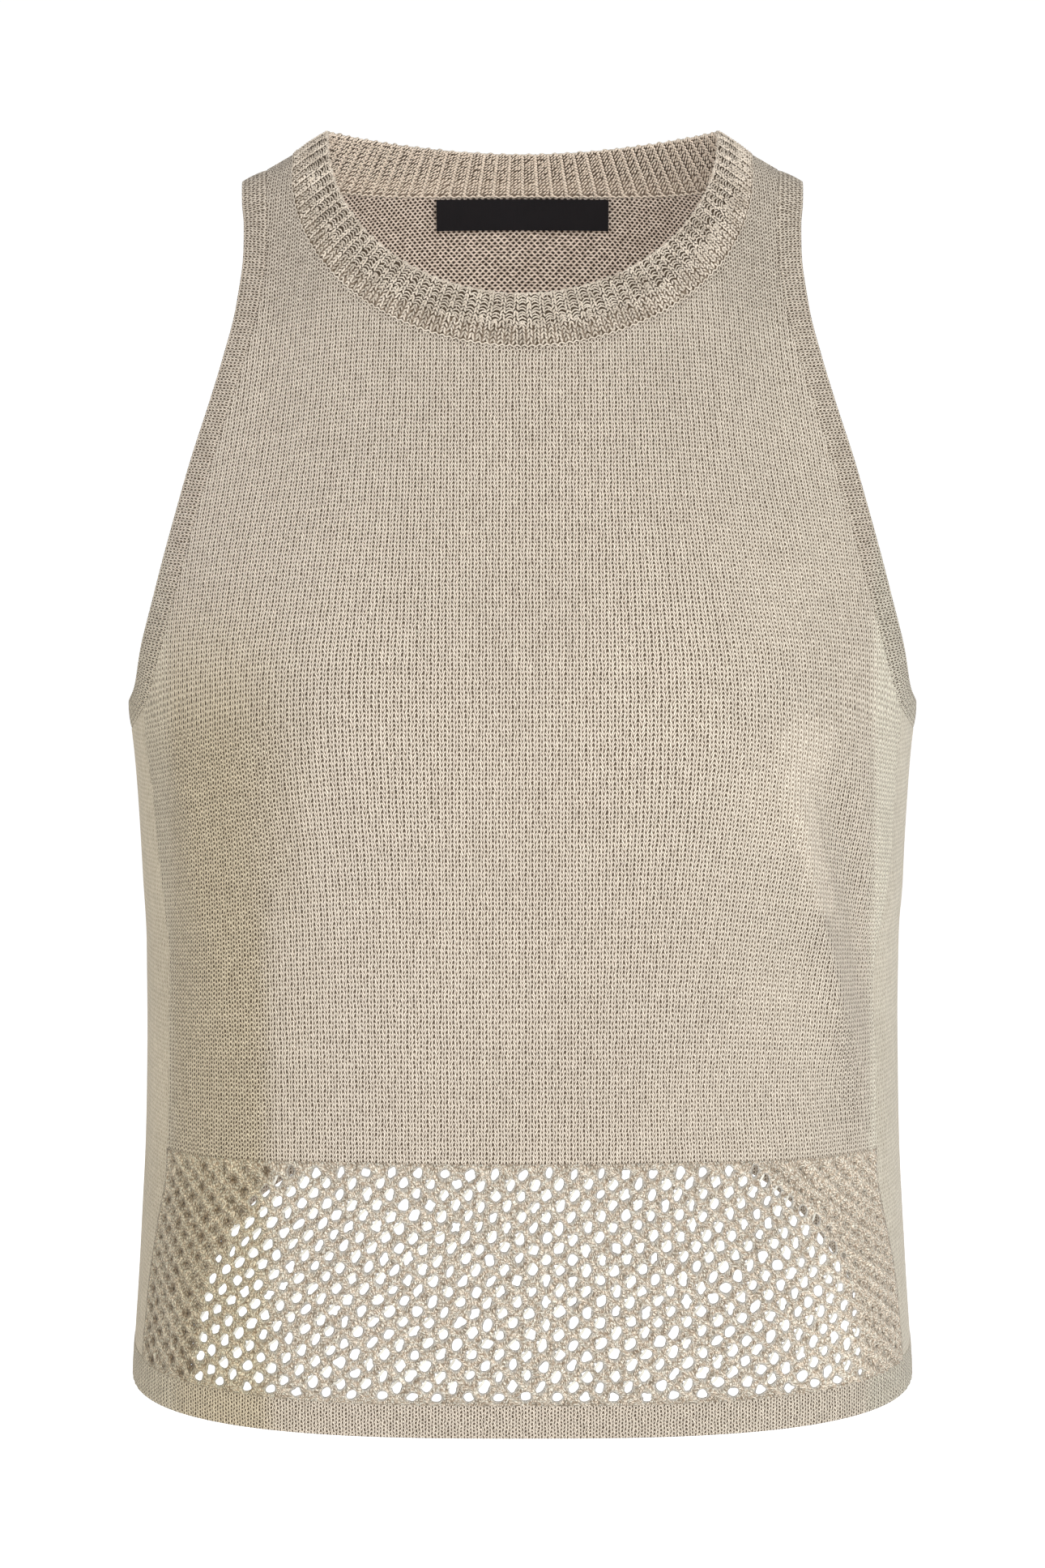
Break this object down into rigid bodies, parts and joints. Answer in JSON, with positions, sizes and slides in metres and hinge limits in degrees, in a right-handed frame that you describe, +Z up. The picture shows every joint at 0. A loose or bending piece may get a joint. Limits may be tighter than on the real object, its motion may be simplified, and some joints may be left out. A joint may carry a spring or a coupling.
{
  "type": "sleeveless knitted crochet-look top",
  "caption": "Sleeveless knitted top with a ribbed crew neckband, narrow armhole bands, an open lace band above the front hem and a ribbed hem, in its worn hollow form.",
  "frame": {"origin": "midway between the tops of the two shoulders, where the wearer's shoulders hold the top", "axes": "+Z up, +X to the wearer's left, the front faces -Y"},
  "size_m": [0.3126, 0.2285, 0.4912],
  "materials": {
    "knit": "fine stockinette knit, matt with a faint sheen on the stitches",
    "lace": "open diagonal lace knit of twisted strands",
    "rib": "tight ribbed knit",
    "neck_rib": "coarse open rib knit",
    "arm_rib": "stockinette turned sideways",
    "label": "black woven satin"
  },
  "bodies": {
    "root": {"front_panel": "knit", "front_lace_band": "lace", "front_hem_band": "rib", "back_panel": "knit", "back_hem_band": "rib", "neckband": "neck_rib", "armhole_band_left": "arm_rib", "armhole_band_right": "arm_rib", "neck_label": "label"}
  },
  "joints": []
}
